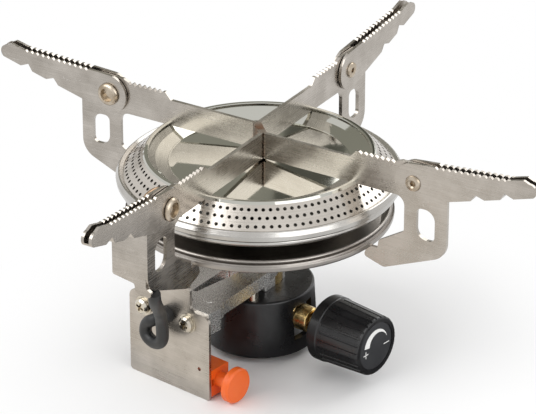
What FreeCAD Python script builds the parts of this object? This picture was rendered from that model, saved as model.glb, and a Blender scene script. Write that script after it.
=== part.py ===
import FreeCAD, Part
import math
import os
import Sketcher
from FreeCAD import Placement, Rotation, Vector

# Folding camping stove that screws on top of a gas cartridge.
# Millimetres, +Z up, burner axis on Z, resting plane at z = 0.
# One pot support arm points along each of +X, +Y, -X and -Y.
# Valve, cup, knob, frame and igniter share one turn about the burner axis.

os.makedirs("parts", exist_ok=True)
doc = FreeCAD.newDocument("Stove")
sheet = doc.addObject("Spreadsheet::Sheet", "Sizes")

# Driving dimensions: name, size
DIMENSIONS = (
    ("pivotHeight", 88.0), ("pivotRadius", 70.0), ("sheetThick", 1.5), ("stripOffset", 3.0),
    ("stripDrop", 7.2), ("stripRise", 3.4), ("stepRise", 6.3), ("legOuter", 83.8), ("legInner", 65.6),
    ("footDrop", 31.8), ("rivetHole", 1.5), ("lobeRadius", 8.0), ("armTip", 120.9), ("channelWidth", 4.5),
    ("channelGap", 2.1), ("webThick", 1.25), ("dishRadius", 45.0), ("beadRadius", 54.0), ("trayRadius", 51.2),
    ("bandTopRadius", 47.0), ("bandFootRadius", 53.1), ("tubeRadius", 8.0), ("cupRadius", 21.8),
    ("cupFloor", 3.4), ("cupTop", 30.8), ("frameTurn", 8.5), ("hubHalfWidth", 17.6), ("hubHalfDepth", 20.0),
    ("frameBottom", 32.5), ("frameTop", 38.0), ("armInner", 4.9), ("armOuter", 13.1), ("plateFront", 50.5),
    ("plateThick", 1.2), ("plateLeft", -22.6), ("plateRight", 17.6), ("plateTop", 35.6), ("knobAxis", 17.0),
    ("knobRear", 33.5), ("knobFront", 58.0), ("knobRadius", 13.1), ("threadRadius", 5.3),
    ("threadMouth", 6.4), ("threadDepth", 7.6), ("buttonAxis", 7.1),
    ("buttonRadius", 7.0), ("housingEnd", 17.4), ("screwLeft", -15.0), ("screwRight", 7.3), ("screwHeight", 30.2),
    ("leadRadius", 2.15),
)
for row, (alias, number) in enumerate(DIMENSIONS, start=1):
    sheet.set("A%d" % row, alias)
    sheet.set("B%d" % row, str(number))
    sheet.setAlias("B%d" % row, alias)
doc.recompute()


# A length that carries its number and its formula in the sheet, so a sketch can be bound to it.
class Size:
    def __init__(self, number, formula):
        self.number = number
        self.formula = formula

    def __add__(self, other):
        return Size(self.number + plain(other), "(%s + %s)" % (self.formula, wording(other)))

    def __sub__(self, other):
        return Size(self.number - plain(other), "(%s - %s)" % (self.formula, wording(other)))

    def __mul__(self, other):
        return Size(self.number * plain(other), "(%s * %s)" % (self.formula, wording(other)))

    def __neg__(self):
        return Size(-self.number, "(0 - %s)" % self.formula)


def plain(length):
    return length.number if isinstance(length, Size) else float(length)


def wording(length):
    return length.formula if isinstance(length, Size) else "%.4f" % length


def size(alias):
    return Size(float(sheet.get(alias)), "Sizes." + alias)


PIVOT = size("pivotHeight")
OFFSET = size("stripOffset")
THICK = size("sheetThick")
UPRIGHT = Vector(0, 0, 1)
OVERRUN = 1.0


# Height above the resting plane of a point given from the arm pivots.
def up(length):
    return PIVOT + length


def bind(thing, name, length):
    setattr(thing, name, plain(length))
    if isinstance(length, Size):
        thing.setExpression(name, length.formula)


# Sub-parts, sketches and pads

SUBPARTS = []


def named(thing, label):
    thing.Label = label
    SUBPARTS.append(thing)
    return thing


def new_body(label):
    return named(doc.addObject("PartDesign::Body", label), label)


# A point of an outline: across, up, and the radius that rounds its corner.
def corner(across, height, radius=0.0):
    return (across, height, radius)


# Closed outline of straight runs whose corners may be rounded by tangent arcs.
def draw_outline(sketch, corners):
    count = len(corners)
    spots = [Vector(plain(c[0]), plain(c[1]), 0) for c in corners]
    starts = []
    ends = []
    centres = []
    for index in range(count):
        here = spots[index]
        before = (spots[index - 1] - here).normalize()
        after = (spots[(index + 1) % count] - here).normalize()
        radius = corners[index][2]
        if radius:
            half = before.getAngle(after) / 2
            reach = radius / math.tan(half)
            middle = (before + after).normalize()
            ends.append(here + before * reach)
            starts.append(here + after * reach)
            centres.append(here + middle * (radius / math.sin(half)))
        else:
            ends.append(here)
            starts.append(here)
            centres.append(None)
    for index in range(count):
        follower = (index + 1) % count
        line = sketch.addGeometry(Part.LineSegment(starts[index], ends[follower]), False)
        pin_corner(sketch, line, 1, corners[index])
        if centres[follower] is not None:
            here = spots[follower]
            centre = centres[follower]
            middle = centre + (here - centre).normalize() * corners[follower][2]
            sketch.addGeometry(Part.Arc(ends[follower], middle, starts[follower]), False)


# Ties a sharp corner to the sheet where its place is a named size.
def pin_corner(sketch, line, end, spot):
    if spot[2]:
        return
    for kind, length in (("DistanceX", spot[0]), ("DistanceY", spot[1])):
        if isinstance(length, Size):
            place = sketch.addConstraint(Sketcher.Constraint(kind, -1, 1, line, end, length.number))
            sketch.setExpression("Constraints[%d]" % place, length.formula)


def join_runs(sketch):
    count = sketch.GeometryCount
    for index in range(count):
        follower = (index + 1) % count
        first = end_towards(sketch, index, follower)
        second = end_towards(sketch, follower, index)
        sketch.addConstraint(Sketcher.Constraint("Coincident", index, first, follower, second))


def end_towards(sketch, index, other):
    mine = [sketch.getPoint(index, side) for side in (1, 2)]
    theirs = [sketch.getPoint(other, side) for side in (1, 2)]
    gaps = [min(spot.distanceToPoint(far) for far in theirs) for spot in mine]
    return 1 if gaps[0] <= gaps[1] else 2


def new_sketch(body, plane, offset=0.0, lift=0.0):
    sketch = body.newObject("Sketcher::SketchObject", body.Name + "_outline")
    role = [f for f in body.Origin.OriginFeatures if f.Role == plane][0]
    sketch.AttachmentSupport = [(role, "")]
    sketch.MapMode = "FlatFace"
    sketch.AttachmentOffset = Placement(Vector(0, plain(lift), plain(offset)), Rotation())
    for axis, length in (("y", lift), ("z", offset)):
        if isinstance(length, Size):
            sketch.setExpression("AttachmentOffset.Base." + axis, length.formula)
    return sketch


def outline(body, plane, corners, offset=0.0, lift=0.0):
    sketch = new_sketch(body, plane, offset, lift)
    draw_outline(sketch, corners)
    join_runs(sketch)
    doc.recompute()
    return sketch


def circles(body, plane, rounds, offset=0.0, lift=0.0):
    sketch = new_sketch(body, plane, offset, lift)
    for across, height, radius in rounds:
        spot = Vector(plain(across), plain(height), 0)
        ring = sketch.addGeometry(Part.Circle(spot, Vector(0, 0, 1), plain(radius)), False)
        if isinstance(radius, Size):
            place = sketch.addConstraint(Sketcher.Constraint("Radius", ring, radius.number))
            sketch.setExpression("Constraints[%d]" % place, radius.formula)
    doc.recompute()
    return sketch


def pad(body, sketch, length):
    feature = body.newObject("PartDesign::Pad", body.Name + "_pad")
    feature.Profile = sketch
    bind(feature, "Length", length)
    doc.recompute()
    return feature


# A cut runs the same way as a pad. Its volume is checked, because one that misses the solid takes nothing.
def pocket(body, sketch, length):
    before = body.Shape.Volume
    feature = body.newObject("PartDesign::Pocket", body.Name + "_cut")
    feature.Profile = sketch
    feature.Reversed = True
    bind(feature, "Length", length)
    doc.recompute()
    if body.Shape.Volume > before - 0.01:
        raise ValueError("cut took nothing from " + body.Label)
    return feature


def turned(body, corners, axis="V_Axis", lift=0.0):
    sketch = outline(body, "XZ_Plane", corners, lift=lift)
    feature = body.newObject("PartDesign::Revolution", body.Name + "_turn")
    feature.Profile = sketch
    feature.ReferenceAxis = (sketch, [axis])
    feature.Angle = 360
    doc.recompute()
    return feature


# The lower works stand turned by the frame's angle about the burner axis.
LOWER_TURN = Placement(Vector(0, 0, 0), Rotation(Vector(0, 0, -1), plain(size("frameTurn"))))


def lower(thing):
    thing.Placement = LOWER_TURN
    return thing


def shape_part(label, shape, placement=None):
    thing = named(doc.addObject("Part::Feature", label), label)
    thing.Shape = shape
    if placement is not None:
        thing.Placement = placement.multiply(thing.Placement)
    return thing


# Solid of revolution from corners given as (radius, height), on the line through base along axis.
def spun(corners, base, axis):
    spots = [Vector(plain(c[0]), 0, plain(c[1])) for c in corners]
    face = Part.Face(Part.makePolygon(spots + spots[:1]))
    solid = face.revolve(Vector(0, 0, 0), Vector(0, 0, 1), 360)
    solid.Placement = Placement(base, Rotation(Vector(0, 0, 1), axis))
    return solid


# Pot supports: each is one strip of sheet bent at the centre into a V of two wings

WING_START = 9.0
CENTRE_REACH = 12.0
TOOTH_PITCH = 2.35
WING_TEETH = 7
WING_TEETH_START = 45.6
TOOTH_DEPTH = 0.9


def wing_outline():
    bottom = up(-size("stripDrop"))
    top = up(size("stripRise"))
    step = up(size("stepRise"))
    outer = size("legOuter")
    inner = size("legInner")
    foot = up(-size("footDrop"))
    runs = [
        corner(WING_START, bottom),
        corner(inner, bottom, 4.0),
        corner(inner, up(-21.8), 2.0),
        corner(54.8, up(-28.4), 0.8),
        corner(54.3, foot, 0.6),
        corner(50.0, foot, 1.0),
        corner(48.4, up(-36.4), 1.4),
        corner(57.2, up(-39.2), 3.0),
        corner(outer, up(-28.1), 8.0),
        corner(outer, up(-3.0), 2.5),
        corner(77.4, up(7.3), 4.0),
        corner(64.0, up(7.3), 1.5),
    ]
    for tooth in reversed(range(WING_TEETH)):
        start = WING_TEETH_START + tooth * TOOTH_PITCH
        runs.append(corner(start + 1.9, step))
        runs.append(corner(start + 1.3, step - TOOTH_DEPTH))
        runs.append(corner(start, step))
    runs.append(corner(44.6, step, 0.5))
    runs.append(corner(42.0, top, 1.0))
    runs.append(corner(WING_START, top))
    return runs


# Rounded slot in the leg, with two large and two small corners
def slot_outline():
    return [
        corner(70.9, up(-10.4), 2.2),
        corner(78.7, up(-10.4), 4.4),
        corner(78.7, up(-23.2), 2.2),
        corner(70.9, up(-23.2), 4.4),
    ]


# Bent centre of one strip, seen from above, with the weld face on the line across the burner axis
def centre_outline():
    near = OFFSET - THICK * 0.5
    far = OFFSET + THICK * 0.5
    inside = THICK * math.sqrt(2) + near
    reach = CENTRE_REACH
    return [
        corner(reach, -far), corner(far, -far, 2.2), corner(-far, far, 2.2), corner(-far, reach),
        corner(-near, reach), corner(-near, inside, 0.8), corner(inside, -near, 0.8), corner(reach, -near),
    ]


def pot_support(label, turn, with_flange):
    body = new_body(label)
    centre = outline(body, "XY_Plane", centre_outline(), offset=up(-size("stripDrop")))
    pad(body, centre, size("stripDrop") + size("stripRise"))
    near = OFFSET - THICK * 0.5
    far = OFFSET + THICK * 0.5
    for plane, offset in (("XZ_Plane", near), ("YZ_Plane", -far)):
        pad(body, outline(body, plane, wing_outline(), offset=offset), THICK)
        slot = outline(body, plane, slot_outline(), offset=offset - OVERRUN)
        pocket(body, slot, THICK + OVERRUN * 2)
        hole = circles(body, plane, [(size("pivotRadius"), PIVOT, size("rivetHole"))], offset=offset - OVERRUN)
        pocket(body, hole, THICK + OVERRUN * 2)
    if with_flange:
        add_flange(body, near)
    body.Placement = Placement(Vector(0, 0, 0), Rotation(UPRIGHT, turn))
    return body


# Screening flange bent off the front leg, and the tab that grips the igniter lead
def add_flange(body, near):
    outer = size("legOuter")
    flange = outline(body, "XZ_Plane", [
        corner(-near - 0.6, up(-5.0)), corner(11.8, up(-5.0), 2.0), corner(11.8, up(-25.0), 1.0),
        corner(2.2, up(-26.6), 0.8), corner(1.7, up(-30.2), 1.5), corner(-5.0, up(-31.2), 1.4),
        corner(-5.0, up(-28.8), 0.8), corner(-near - 0.6, up(-27.4), 0.4),
    ], offset=-outer)
    pad(body, flange, THICK)


pot_support("right_pot_support", 0, False)
pot_support("left_pot_support", 180, True)


# Swing arms: channels with two toothed side plates and a notched web below

ARM_TEETH = 12
ARM_TEETH_START = 80.0
ARM_TOOTH_PITCH = 2.55
TOP_SLOPE = 0.092
FLOOR_SLOPE = 0.31
FLOOR_START = 84.5
FLOOR_DROP = -3.9


def arm_top(across):
    return up(9.0 + (across - 80.0) * TOP_SLOPE)


def arm_floor(across, extra=0.0):
    return up(FLOOR_DROP + (across - FLOOR_START) * FLOOR_SLOPE + extra)


# Outline of the side plate: lobe round the pivot, toothed top, rounded tip and notched floor
def arm_outline(sketch):
    pivot_x = plain(size("pivotRadius"))
    pivot_z = plain(PIVOT)
    lobe = plain(size("lobeRadius"))
    low = math.radians(287.2)
    high = math.radians(95.0)
    lobe_low = Vector(pivot_x + lobe * math.cos(low), pivot_z + lobe * math.sin(low), 0)
    lobe_high = Vector(pivot_x + lobe * math.cos(high), pivot_z + lobe * math.sin(high), 0)
    lobe_side = Vector(pivot_x - lobe, pivot_z, 0)
    spots = [lobe_high, Vector(79.0, plain(arm_top(79.0)), 0)]
    for tooth in range(ARM_TEETH):
        start = ARM_TEETH_START + tooth * ARM_TOOTH_PITCH
        spots.append(Vector(start, plain(arm_top(start)) - TOOTH_DEPTH, 0))
        spots.append(Vector(start + 0.8, plain(arm_top(start)), 0))
        spots.append(Vector(start + 1.9, plain(arm_top(start)), 0))
    tip = plain(size("armTip"))
    spots.append(Vector(112.6, plain(up(12.4)), 0))
    spots.append(Vector(115.6, plain(up(13.2)), 0))
    tip_start = Vector(118.0, plain(up(12.2)), 0)
    tip_side = Vector(tip, plain(up(9.6)), 0)
    tip_end = Vector(119.8, plain(up(7.1)), 0)
    spots.append(tip_start)
    after_tip = [tip_end]
    for across, rise in ((111.8, 0.0), (108.0, 2.5), (106.4, 0.0), (99.9, 0.0), (96.2, 2.2), (94.2, 0.0)):
        after_tip.append(Vector(across, plain(arm_floor(across, rise)), 0))
    after_tip.append(lobe_low)
    for first, second in zip(spots, spots[1:]):
        sketch.addGeometry(Part.LineSegment(first, second), False)
    sketch.addGeometry(Part.Arc(tip_start, tip_side, tip_end), False)
    for first, second in zip(after_tip, after_tip[1:]):
        sketch.addGeometry(Part.LineSegment(first, second), False)
    sketch.addGeometry(Part.Arc(lobe_low, lobe_side, lobe_high), False)
    join_runs(sketch)


# Space between the side plates, which leaves the web along the floor
def arm_hollow():
    start = FLOOR_START
    web = plain(size("webThick"))
    end = 126.0
    return [
        corner(58.0, up(-14.0)), corner(start, up(-14.0)), corner(start, arm_floor(start, web)),
        corner(end, arm_floor(end, web)), corner(end, up(20.0)), corner(58.0, up(20.0)),
    ]


# The arm hangs by its own small play below the level that the drawing gives
def swing_arm(label, turn, base, play):
    body = new_body(label)
    width = size("channelWidth")
    gap = size("channelGap")
    sketch = new_sketch(body, "XZ_Plane", offset=width * -0.5)
    arm_outline(sketch)
    pad(body, sketch, width)
    hollow = outline(body, "XZ_Plane", arm_hollow(), offset=gap * -0.5)
    pocket(body, hollow, gap)
    running = size("rivetHole") + 0.08
    hole = circles(body, "XZ_Plane", [(size("pivotRadius"), PIVOT, running)], offset=width * -0.5 - OVERRUN)
    pocket(body, hole, width + OVERRUN * 2)
    pivot = Vector(plain(size("pivotRadius")), 0, plain(PIVOT))
    sag = Placement(Vector(0, 0, 0), Rotation(Vector(0, 1, 0), play), pivot)
    body.Placement = Placement(base, Rotation(UPRIGHT, turn)).multiply(sag)
    return body


SIDE = plain(OFFSET)
ARM_PLAY = {"right_arm": 0.3, "back_arm": 1.2, "left_arm": 3.2, "front_arm": 1.0}
ARM_PLACES = {
    "right_arm": (0, Vector(0, -SIDE, 0)),
    "back_arm": (90, Vector(-SIDE, 0, 0)),
    "left_arm": (180, Vector(0, SIDE, 0)),
    "front_arm": (270, Vector(SIDE, 0, 0)),
}
for arm_name, (arm_turn, arm_base) in ARM_PLACES.items():
    swing_arm(arm_name, arm_turn, arm_base, ARM_PLAY[arm_name])


# Pivot rivets: domed head on one side, rolled end on the other
def rivet():
    half = plain(size("channelWidth")) / 2 + 0.08
    shank = plain(size("rivetHole"))
    return [
        corner(0, -half + 0.6), corner(0.8, -half + 0.6), corner(0.9, -half - 0.6), corner(1.5, -half - 0.9),
        corner(2.3, -half - 0.6), corner(2.6, -half), corner(shank, -half), corner(shank, half),
        corner(2.9, half), corner(2.8, half + 0.6), corner(2.2, half + 1.1), corner(1.2, half + 1.4),
        corner(0, half + 1.5),
    ]


rivets = []
for arm_turn, arm_base in ARM_PLACES.values():
    place = Placement(arm_base, Rotation(UPRIGHT, arm_turn))
    spot = place.multVec(Vector(plain(size("pivotRadius")), 0, plain(PIVOT)))
    along = place.Rotation.multVec(Vector(0, 1, 0))
    rivets.append(spun(rivet(), spot, along))
shape_part("pivot_rivets", Part.Compound(rivets))


# Burner head: dished cap, perforated band, bowl with two beads, tray, tube and collar

SKIN = 0.7
TUBE_FIT = size("tubeRadius") + 0.05


def dish():
    rim = size("dishRadius")
    body = new_body("burner_dish")
    turned(body, [
        corner(0, up(-7.3)), corner(37.5, up(-12.6), 3.0), corner(44.0, up(-8.0), 0.5),
        corner(rim - 0.4, up(-7.2), 0.3), corner(rim + 0.6, up(-7.25), 0.3), corner(46.6, up(-8.9)),
        corner(46.4, up(-9.5)), corner(rim, up(-8.2), 0.3), corner(38.0, up(-13.6), 3.0), corner(0, up(-8.1)),
    ])
    return body


BAND_HOLES = 72
BAND_TOP = -9.5
BAND_FOOT = -15.8
HOLE_RADIUS = 0.75


def ring_wire(radius, height, count, start=0.0):
    spots = []
    for index in range(count):
        angle = 2 * math.pi * (index + start) / count
        spots.append(Vector(radius * math.cos(angle), radius * math.sin(angle), height))
    return Part.makePolygon(spots + spots[:1])


# Band of narrow flat facets: outer and middle rows of holes share a facet, the middle row sits between
def flame_band():
    top_radius = plain(size("bandTopRadius"))
    foot_radius = plain(size("bandFootRadius"))
    top = plain(up(BAND_TOP))
    foot = plain(up(BAND_FOOT))
    facets = 2 * BAND_HOLES
    wall = SKIN
    outer = Part.makeLoft([ring_wire(foot_radius, foot, facets, 0.5), ring_wire(top_radius, top, facets, 0.5)],
                          True, True)
    inner = Part.makeLoft([ring_wire(foot_radius - wall, foot - 0.01, facets, 0.5),
                           ring_wire(top_radius - wall, top + 0.01, facets, 0.5)], True, True)
    slope = Vector(top - foot, 0, foot_radius - top_radius).normalize()
    punches = []
    for index in range(facets):
        angle = 360.0 * index / facets
        rows = (0.18, 0.82) if index % 2 == 0 else (0.5,)
        for share in rows:
            across = foot_radius + (top_radius - foot_radius) * share
            height = foot + (top - foot) * share
            spot = Vector(across, 0, height) - slope * 1.6
            punch = Part.Face(ring_wire(HOLE_RADIUS, 0, 6)).extrude(Vector(0, 0, 3.0))
            punch.Placement = Placement(spot, Rotation(Vector(0, 0, 1), slope))
            punch.rotate(Vector(0, 0, 0), Vector(0, 0, 1), angle)
            punches.append(punch)
    return shape_part("flame_band", outer.cut(inner).cut(Part.Compound(punches)))


# Bowl under the band: wide rolled bead, thin lower bead and a shallow underside down to the tube
def burner_bowl():
    bead = size("beadRadius")
    body = new_body("burner_bowl")
    turned(body, [
        corner(52.2, up(-15.9)), corner(53.9, up(-15.9), 0.5), corner(bead + 1.4, up(-17.2), 0.9),
        corner(bead + 0.6, up(-19.0), 0.6), corner(52.6, up(-19.3), 0.3), corner(53.4, up(-20.4), 0.5),
        corner(52.4, up(-21.3), 0.5), corner(20.0, up(-30.4), 6.0), corner(10.5, up(-35.6)),
        corner(TUBE_FIT, up(-35.6)), corner(TUBE_FIT, up(-34.8)), corner(10.1, up(-34.8)),
        corner(19.6, up(-29.4), 6.0), corner(51.6, up(-20.2), 0.5), corner(51.4, up(-18.2), 0.5),
        corner(52.8, up(-17.4), 0.3),
    ])
    return body


def burner_tray():
    rim = size("trayRadius")
    body = new_body("burner_tray")
    turned(body, [
        corner(rim - 1.1, up(-28.2)), corner(rim - 0.2, up(-28.2), 0.2), corner(rim, up(-31.7), 0.4),
        corner(49.8, up(-31.7), 0.4), corner(42.5, up(-38.5), 4.0), corner(33.0, up(-45.2), 4.0),
        corner(TUBE_FIT, up(-45.2)), corner(TUBE_FIT, up(-44.5)), corner(32.8, up(-44.5), 4.0),
        corner(42.0, up(-38.0), 4.0), corner(49.3, up(-31.0), 0.8), corner(rim - 1.1, up(-30.9), 0.2),
    ])
    return body


dish()
flame_band()
burner_bowl()
burner_tray()

tube_radius = size("tubeRadius")
mixing_tube = new_body("mixing_tube")
turned(mixing_tube, [
    corner(5.2, size("frameTop") + 3.0), corner(tube_radius + 1.6, size("frameTop") + 3.0, 0.3),
    corner(tube_radius + 1.6, size("frameTop") + 4.6, 0.3), corner(tube_radius, size("frameTop") + 4.8),
    corner(tube_radius, up(-33.6)), corner(tube_radius - 0.9, up(-33.6)),
    corner(tube_radius - 0.9, size("frameTop") + 4.4), corner(5.2, size("frameTop") + 4.0),
])

tray_collar = new_body("tray_collar")
turned(tray_collar, [
    corner(TUBE_FIT, up(-44.5)), corner(11.6, up(-44.5), 0.4), corner(11.6, up(-42.8), 0.3),
    corner(10.2, up(-41.2), 0.3), corner(TUBE_FIT, up(-41.2)),
])


# Support frame: cast hub over the cup, two arms forward and the block that carries the igniter plate

BLOCK_BACK = 39.5
BLOCK_FRONT = 49.3
BLOCK_LEFT = -19.5
BLOCK_WIDTH = 35.2
HUB_BORE = 9.1
POST_PLACES = [(across, deep) for across in (-9.6, 9.6) for deep in (-15.4, 15.4)]
POST_RADIUS = 2.2
POST_SEAT = 29.0


def support_frame():
    body = new_body("support_frame")
    wide = size("hubHalfWidth")
    deep = size("hubHalfDepth")
    low = size("frameBottom")
    top = size("frameTop")
    hub = outline(body, "XY_Plane", [
        corner(-wide, -deep, 1.0), corner(wide, -deep, 1.0), corner(wide, deep, 3.0), corner(-wide, deep, 3.0),
    ], offset=low)
    pad(body, hub, top - low)
    boss = outline(body, "XY_Plane", [
        corner(-14.5, -15.5, 2.0), corner(14.5, -15.5, 2.0), corner(14.5, 15.5, 2.0), corner(-14.5, 15.5, 2.0),
    ], offset=top - 0.5)
    raised = pad(body, boss, 3.5)
    raised.TaperAngle = -52
    doc.recompute()
    inner = size("armInner")
    outer = size("armOuter")
    for side in (1, -1):
        arm = outline(body, "XY_Plane", [
            corner(inner * side, -42.0, 0), corner(outer * side, -42.0, 0),
            corner(outer * side, -17.0, 0), corner(inner * side, -17.0, 0),
        ], offset=low)
        pad(body, arm, top - low)
    block = outline(body, "YZ_Plane", [
        corner(-BLOCK_FRONT, 26.5), corner(-BLOCK_BACK, 26.5), corner(-BLOCK_BACK, 36.0),
        corner(-40.6, top - 0.05), corner(-42.6, top - 0.05), corner(-45.4, 35.5), corner(-BLOCK_FRONT, 35.5),
    ], offset=BLOCK_LEFT)
    pad(body, block, BLOCK_WIDTH)
    gap = outline(body, "XY_Plane", [
        corner(-inner, -38.0), corner(inner, -38.0), corner(inner, -12.5, 3.0), corner(-inner, -12.5, 3.0),
    ], offset=low - 2.0)
    pocket(body, gap, 12.0)
    bore = circles(body, "XY_Plane", [(0, 0, HUB_BORE)], offset=low - OVERRUN)
    pocket(body, bore, 4.0)
    neck = circles(body, "XY_Plane", [(0, 0, 5.2)], offset=low - OVERRUN)
    pocket(body, neck, 12.0)
    lead_way = outline(body, "XZ_Plane", [
        corner(-7.0, 20.0), corner(0.8, 20.0), corner(0.8, 34.6, 2.0), corner(-7.0, 34.6, 2.0),
    ], offset=BLOCK_BACK - OVERRUN)
    pocket(body, lead_way, 14.0)
    screws = circles(body, "XZ_Plane", [
        (size("screwLeft"), size("screwHeight"), 1.5), (size("screwRight"), size("screwHeight"), 1.5),
    ], offset=BLOCK_FRONT - 7.5)
    pocket(body, screws, 9.0)
    return lower(body)


support_frame()

post_length = plain(size("frameBottom")) - POST_SEAT
posts = []
for across, deep in POST_PLACES:
    posts.append(Part.makeCylinder(POST_RADIUS, post_length, Vector(across, deep, POST_SEAT)))
shape_part("frame_posts", Part.Compound(posts), LOWER_TURN)


# Valve cup: black moulding that sits over the cartridge valve, with a window for the valve stem
CUP_WALL = 2.2
CUP_ROOF = 3.0


def valve_cup():
    body = new_body("valve_cup")
    outer = size("cupRadius")
    floor = size("cupFloor")
    top = size("cupTop")
    turned(body, [
        corner(HUB_BORE, top), corner(outer, top, 5.0), corner(outer, floor, 0.4),
        corner(outer - CUP_WALL, floor), corner(outer - CUP_WALL, top - CUP_ROOF, 3.0),
        corner(HUB_BORE, top - CUP_ROOF),
    ])
    window = outline(body, "YZ_Plane", [
        corner(-7.6, 7.6, 0.8), corner(7.6, 7.6, 0.8), corner(7.6, 25.2, 0.8), corner(-7.6, 25.2, 0.8),
    ], offset=12.0)
    pocket(body, window, 12.0)
    for across, deep in POST_PLACES:
        seat = circles(body, "XY_Plane", [(across, deep, POST_RADIUS)], offset=POST_SEAT)
        pocket(body, seat, 4.0)
    return lower(body)


valve_cup()


# Valve body: brass block with the cartridge thread below and a side branch for the needle
def valve_body():
    body = new_body("valve_body")
    axis_height = size("knobAxis")
    mouth = size("threadMouth")
    depth = size("threadDepth")
    turned(body, [
        corner(0, mouth), corner(9.0, mouth, 0.4), corner(9.0, 33.4), corner(0, 33.4),
    ])
    branch = circles(body, "YZ_Plane", [(0, axis_height, 5.6)], offset=0.0)
    pad(body, branch, 17.0)
    thread = circles(body, "XY_Plane", [(0, 0, size("threadRadius"))], offset=mouth)
    pocket(body, thread, depth)
    seal_seat = circles(body, "XY_Plane", [(0, 0, 4.6)], offset=mouth)
    pocket(body, seal_seat, depth + 1.5)
    pin_hole = circles(body, "XY_Plane", [(0, 0, 1.3)], offset=mouth)
    pocket(body, pin_hole, depth + 6.2)
    needle_way = circles(body, "YZ_Plane", [(0, axis_height, 2.6)], offset=3.0)
    pocket(body, needle_way, 18.0)
    riser = circles(body, "XY_Plane", [(0, 0, 1.0)], offset=axis_height)
    pocket(body, riser, 18.0)
    jet_seat = circles(body, "XY_Plane", [(0, 0, 2.5)], offset=27.0)
    pocket(body, jet_seat, 8.0)
    return lower(body)


valve_body()

cartridge_seal = new_body("cartridge_seal")
turned(cartridge_seal, [
    corner(2.6, 14.1), corner(4.5, 14.1, 0.5), corner(4.5, 15.4, 0.5), corner(2.6, 15.4),
])
lower(cartridge_seal)

valve_pin = new_body("valve_pin")
turned(valve_pin, [
    corner(0, 14.3), corner(0.9, 14.3, 0.3), corner(0.9, 19.8), corner(0, 19.8),
])
lower(valve_pin)

gas_jet = new_body("gas_jet")
turned(gas_jet, [
    corner(0.4, 27.0), corner(2.5, 27.0), corner(2.5, 33.4), corner(3.9, 33.4, 0.3), corner(3.9, 36.6, 0.3),
    corner(2.0, 38.6), corner(0.4, 38.6),
])
lower(gas_jet)

jet_filter = new_body("jet_filter")
turned(jet_filter, [
    corner(0, 24.2), corner(0.95, 24.2), corner(0.95, 26.9), corner(0, 26.9),
])
lower(jet_filter)


# Gland nut: hexagon with a threaded collar round the needle
def gland_nut():
    body = new_body("gland_nut")
    axis_height = size("knobAxis")
    hexagon = new_sketch(body, "YZ_Plane", offset=17.0, lift=axis_height)
    draw_outline(hexagon, [
        corner(7.2 * math.cos(math.radians(60 * i)), 7.2 * math.sin(math.radians(60 * i))) for i in range(6)
    ])
    join_runs(hexagon)
    pad(body, hexagon, 5.0)
    collar = circles(body, "YZ_Plane", [(0, 0, 5.4)], offset=21.5, lift=axis_height)
    pad(body, collar, 5.5)
    sleeve = circles(body, "YZ_Plane", [(0, 0, 3.8)], offset=26.5, lift=axis_height)
    pad(body, sleeve, 4.5)
    way = circles(body, "YZ_Plane", [(0, 0, 2.25)], offset=16.0, lift=axis_height)
    pocket(body, way, 16.0)
    return lower(body)


gland_nut()

spindle_seal = new_body("spindle_seal")
turned(spindle_seal, [
    corner(13.2, 2.26), corner(15.2, 2.26), corner(15.2, 2.58, 0.05), corner(13.2, 2.58, 0.05),
], axis="H_Axis", lift=size("knobAxis"))
lower(spindle_seal)

valve_spindle = new_body("valve_spindle")
turned(valve_spindle, [
    corner(4.0, 0), corner(6.4, 1.2), corner(7.4, 1.2), corner(7.4, 2.19), corner(46.0, 2.19), corner(46.0, 0),
], axis="H_Axis", lift=size("knobAxis"))
lower(valve_spindle)


# Knob: smooth collar at the rear, tapered fluted grip and a recessed face
FLUTES = 26


def knob_blank():
    body = doc.addObject("PartDesign::Body", "knob_blank")
    rear = size("knobRear")
    front = size("knobFront")
    radius = size("knobRadius")
    turned(body, [
        corner(rear, 2.2), corner(rear, radius - 0.8, 0.5), corner(rear + 0.8, radius, 0.5),
        corner(rear + 4.6, radius, 0.6), corner(rear + 5.0, radius - 0.3), corner(front, radius - 1.3, 0.8),
        corner(front, 9.7), corner(front - 0.7, 9.7), corner(front - 0.7, 0), corner(46.2, 0), corner(46.2, 2.2),
    ], axis="H_Axis", lift=size("knobAxis"))
    return body


def knob_grooves():
    radius = plain(size("knobRadius"))
    rear = plain(size("knobRear"))
    front = plain(size("knobFront"))
    height = plain(size("knobAxis"))
    cutters = []
    for index in range(FLUTES):
        low = Part.makePolygon(flute(radius + 0.15, 0.62, 0.8, rear + 6.0))
        high = Part.makePolygon(flute(radius - 0.95, 0.62, 0.8, front + 0.5))
        cutter = Part.makeLoft([low, high], True, True)
        cutter.rotate(Vector(0, 0, 0), Vector(1, 0, 0), 360.0 * index / FLUTES)
        cutter.translate(Vector(0, 0, height))
        cutters.append(cutter)
    grooves = doc.addObject("Part::Feature", "knob_grooves")
    grooves.Shape = Part.Compound(cutters)
    return grooves


# Four-sided groove section: its mouth lies outside the grip and its floor inside
def flute(radius, half, depth, along):
    return [
        Vector(along, -half - 0.3, radius + 0.4), Vector(along, -half * 0.55, radius - depth),
        Vector(along, half * 0.55, radius - depth), Vector(along, half + 0.3, radius + 0.4),
        Vector(along, -half - 0.3, radius + 0.4),
    ]


def control_knob():
    fluted = named(doc.addObject("Part::Cut", "control_knob"), "control_knob")
    fluted.Base = knob_blank()
    fluted.Tool = knob_grooves()
    doc.recompute()
    return lower(fluted)


control_knob()

knob_dial = new_body("knob_dial")
turned(knob_dial, [
    corner(size("knobFront") - 0.7, 0), corner(size("knobFront") - 0.7, 9.6),
    corner(size("knobFront") - 0.25, 9.6, 0.15), corner(size("knobFront") - 0.25, 0),
], axis="H_Axis", lift=size("knobAxis"))
lower(knob_dial)


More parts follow.
